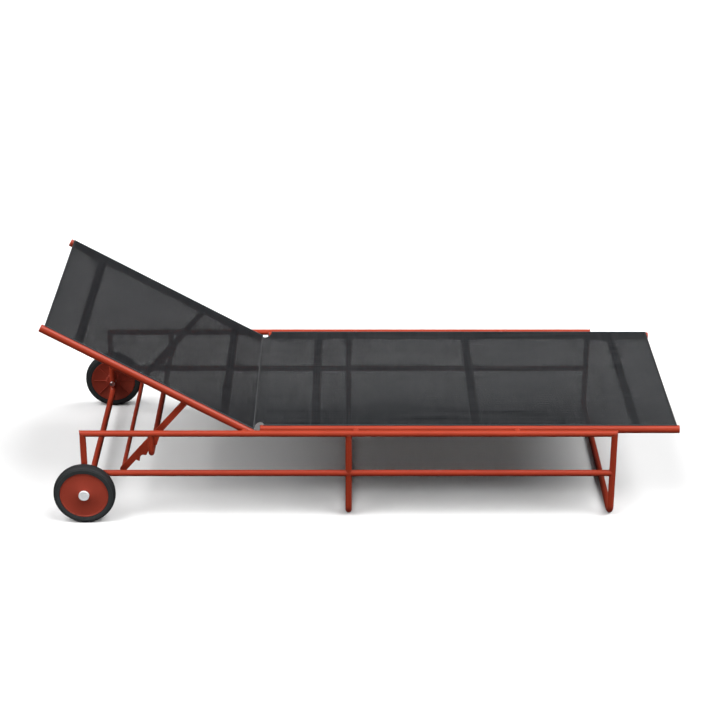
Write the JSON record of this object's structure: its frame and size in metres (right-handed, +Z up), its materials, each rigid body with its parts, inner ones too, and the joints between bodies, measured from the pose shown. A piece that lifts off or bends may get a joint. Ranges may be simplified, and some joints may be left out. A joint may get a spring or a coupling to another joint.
{
  "type": "reclining sun lounger",
  "caption": "Low tube-framed sun lounger with a woven mesh sling, a reclining backrest held by a notched stay, and wheels at the head end.",
  "frame": {"origin": "on the ground under the middle of the object's length and width", "axes": "+Z up, +X from the head end towards the foot end, +Y towards the right-hand pieces"},
  "size_m": [1.9786, 0.888, 0.6463],
  "materials": {
    "frame_paint": "satin powder coat",
    "fastener_steel": "zinc-plated, satin",
    "tyre_rubber": "matt moulded rubber",
    "hub_plastic": "satin moulded",
    "cap_plastic": "semi-gloss",
    "plug_plastic": "satin moulded",
    "black_plastic": "matt moulded",
    "sling_mesh": "coated yarn mesh, matt"
  },
  "bodies": {
    "base": {"head_frame": "frame_paint", "middle_frame": "frame_paint", "foot_frame": "frame_paint", "catch_frame": "frame_paint", "seat_bar_head": "frame_paint", "seat_bar_middle": "frame_paint", "seat_bar_foot": "frame_paint", "seat_sling": "sling_mesh", "top_rail_left": "frame_paint", "lower_rail_head_left": "frame_paint", "lower_rail_foot_left": "frame_paint", "seat_rail_left": "frame_paint", "seat_plug_head_left": "black_plastic", "seat_plug_foot_left": "plug_plastic", "seat_spacer_head_left": "frame_paint", "seat_spacer_foot_left": "frame_paint", "seat_bolt_head_left": "fastener_steel", "seat_bolt_foot_left": "fastener_steel", "hinge_spacer_left": "frame_paint", "axle_washer_left": "fastener_steel", "axle_bolt_left": "fastener_steel", "axle_nut_left": "fastener_steel", "top_rail_right": "frame_paint", "lower_rail_head_right": "frame_paint", "lower_rail_foot_right": "frame_paint", "seat_rail_right": "frame_paint", "seat_plug_head_right": "black_plastic", "seat_plug_foot_right": "plug_plastic", "seat_spacer_head_right": "frame_paint", "seat_spacer_foot_right": "frame_paint", "seat_bolt_head_right": "fastener_steel", "seat_bolt_foot_right": "fastener_steel", "hinge_spacer_right": "frame_paint", "axle_washer_right": "fastener_steel", "axle_bolt_right": "fastener_steel", "axle_nut_right": "fastener_steel"},
    "hinge_bolts": {"hinge_bolt_left": "fastener_steel", "hinge_bolt_right": "fastener_steel"},
    "backrest": {"backrest_bar_low": "frame_paint", "backrest_bar_high": "frame_paint", "backrest_sling": "sling_mesh", "backrest_rail_left": "frame_paint", "backrest_plug_top_left": "plug_plastic", "backrest_plug_tail_left": "plug_plastic", "backrest_rail_right": "frame_paint", "backrest_plug_top_right": "plug_plastic", "backrest_plug_tail_right": "plug_plastic"},
    "stay_bolts": {"stay_bolt_left": "fastener_steel", "stay_bolt_right": "fastener_steel"},
    "stay": {"stay_link": "frame_paint", "stay_arm_left": "frame_paint", "stay_arm_right": "frame_paint"},
    "wheel_left": {"tyre_left": "tyre_rubber", "hub_left": "hub_plastic", "wheel_bush_left": "black_plastic", "wheel_cap_left": "cap_plastic"},
    "wheel_right": {"tyre_right": "tyre_rubber", "hub_right": "hub_plastic", "wheel_bush_right": "black_plastic", "wheel_cap_right": "cap_plastic"}
  },
  "joints": [
    {"name": "recline_lower", "type": "hinge", "parent": "base", "child": "hinge_bolts", "pos_m": [-0.36651, 0, 0.29], "axis": [0, 1, 0], "range_deg": [-29.25, 0]},
    {"name": "recline_raise", "type": "hinge", "parent": "hinge_bolts", "child": "backrest", "pos_m": [-0.36651, 0, 0.29], "axis": [0, 1, 0], "range_deg": [0, 26]},
    {"name": "stay_fold", "type": "hinge", "parent": "backrest", "child": "stay_bolts", "pos_m": [-0.54057, 0, 0.38748], "axis": [0, 1, 0], "range_deg": [0, 58.5]},
    {"name": "stay_trail", "type": "hinge", "parent": "stay_bolts", "child": "stay", "pos_m": [-0.54057, 0, 0.38748], "axis": [0, 1, 0], "range_deg": [-18.2, 0]},
    {"name": "wheel_left_spin", "type": "hinge", "parent": "base", "child": "wheel_left", "pos_m": [-0.86951, -0.42215, 0.0974], "axis": [0, 1, 0], "continuous": true},
    {"name": "wheel_right_spin", "type": "hinge", "parent": "base", "child": "wheel_right", "pos_m": [-0.86951, 0.42215, 0.0974], "axis": [0, 1, 0], "continuous": true}
  ],
  "couplings": [
    {"joint": "stay_fold", "follows": "recline_lower", "ratio": -2},
    {"joint": "stay_trail", "follows": "recline_raise", "ratio": -0.7}
  ]
}
